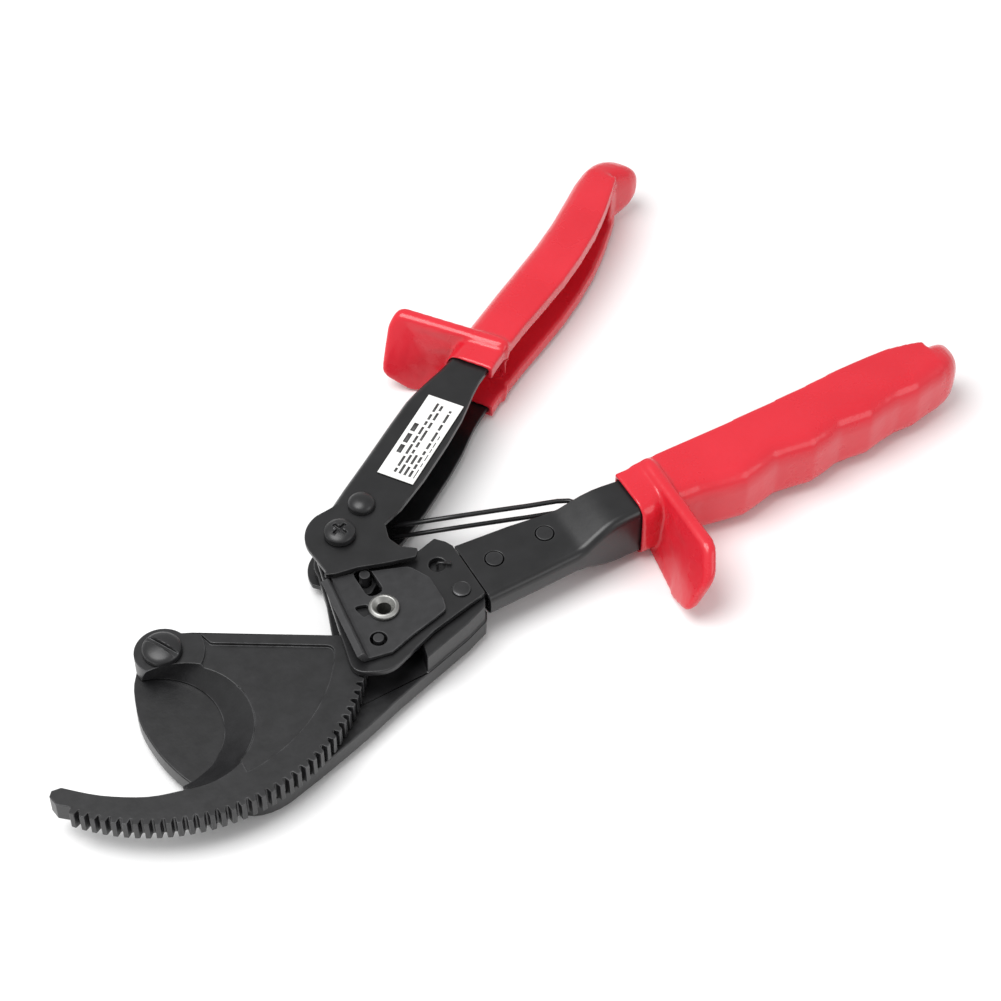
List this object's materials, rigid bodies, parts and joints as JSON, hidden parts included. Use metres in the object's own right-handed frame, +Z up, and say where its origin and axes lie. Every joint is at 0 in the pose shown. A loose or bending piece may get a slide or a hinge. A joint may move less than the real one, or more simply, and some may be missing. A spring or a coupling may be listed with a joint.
{
  "type": "ratcheting cable cutter",
  "caption": "One-hand ratcheting cable cutter with a toothed hooked blade over a notched fixed blade, stamped channel handles and dipped finger-guard grips.",
  "frame": {"origin": "centre of the blade pivot screw's end at the underside, the plane the tool rests on", "axes": "+X along the fixed handle from the blade pivot to its end, +Z up through the thickness to the side with the release lever, +Y towards the moving handle"},
  "size_m": [0.3109, 0.1712, 0.0255],
  "materials": {
    "blackened_steel": "semi-gloss black",
    "blade_steel": "semi-gloss black, ground bevel",
    "spring_wire": "black oiled wire",
    "zinc_steel": "bright zinc plated",
    "dipped_vinyl": "gloss",
    "label_stock": "matt, laminated"
  },
  "bodies": {
    "frame": {"fixed_blade": "blackened_steel", "front_side_plate": "blackened_steel", "blade_pivot_screw": "blackened_steel", "blade_pivot_nut": "blackened_steel", "lever_eyelet": "zinc_steel", "side_plate_rivet": "blackened_steel", "handle_pivot_barrel_nut": "blackened_steel", "handle_pivot_screw": "blackened_steel", "fixed_handle": "blackened_steel", "fixed_handle_grip": "dipped_vinyl", "fixed_handle_rivet_1": "blackened_steel", "fixed_handle_rivet_2": "blackened_steel", "spring_anchor_pin": "blackened_steel", "holding_pawl_spring": "spring_wire"},
    "moving_blade_body": {"moving_blade": "blade_steel"},
    "moving_handle_body": {"moving_handle": "blackened_steel", "moving_handle_grip": "dipped_vinyl", "rating_label": "label_stock", "pawl_rivet": "blackened_steel", "drive_pawl_spring": "spring_wire"},
    "drive_pawl_body": {"drive_pawl": "blackened_steel", "drive_pawl_pin": "zinc_steel"},
    "release_lever_body": {"release_lever": "blackened_steel", "holding_pawl": "blackened_steel", "holding_pawl_pin": "zinc_steel"},
    "return_spring_body": {"return_spring": "spring_wire"}
  },
  "joints": [
    {"name": "blade_pivot", "type": "hinge", "parent": "frame", "child": "moving_blade_body", "pos_m": [0, 0, 0.0124], "axis": [0, 0, 1], "range_deg": [0, 180]},
    {"name": "handle_pivot", "type": "hinge", "parent": "frame", "child": "moving_handle_body", "pos_m": [0.0616, 0.0092, 0.01275], "axis": [0, 0, 1], "range_deg": [-28, 0], "stiffness_Nm_per_rad": 1, "springref_deg": 20.05},
    {"name": "drive_pawl_pivot", "type": "hinge", "parent": "moving_handle_body", "child": "drive_pawl_body", "pos_m": [0.0723, 0.0163, 0.0124], "axis": [0, 0, 1], "range_deg": [0, 21.4]},
    {"name": "release_lever_pivot", "type": "hinge", "parent": "frame", "child": "release_lever_body", "pos_m": [0.061, -0.0197, 0.019], "axis": [0, 0, 1], "range_deg": [-3.5, 0], "stiffness_Nm_per_rad": 0.2, "springref_deg": 11.46},
    {"name": "return_spring_pivot", "type": "hinge", "parent": "frame", "child": "return_spring_body", "pos_m": [0.134, -0.0165, 0.01275], "axis": [0, 0, 1], "range_deg": [0, 12.8]}
  ],
  "couplings": [
    {"joint": "drive_pawl_pivot", "follows": "handle_pivot", "ratio": -0.76},
    {"joint": "return_spring_pivot", "follows": "handle_pivot", "ratio": -0.45}
  ]
}
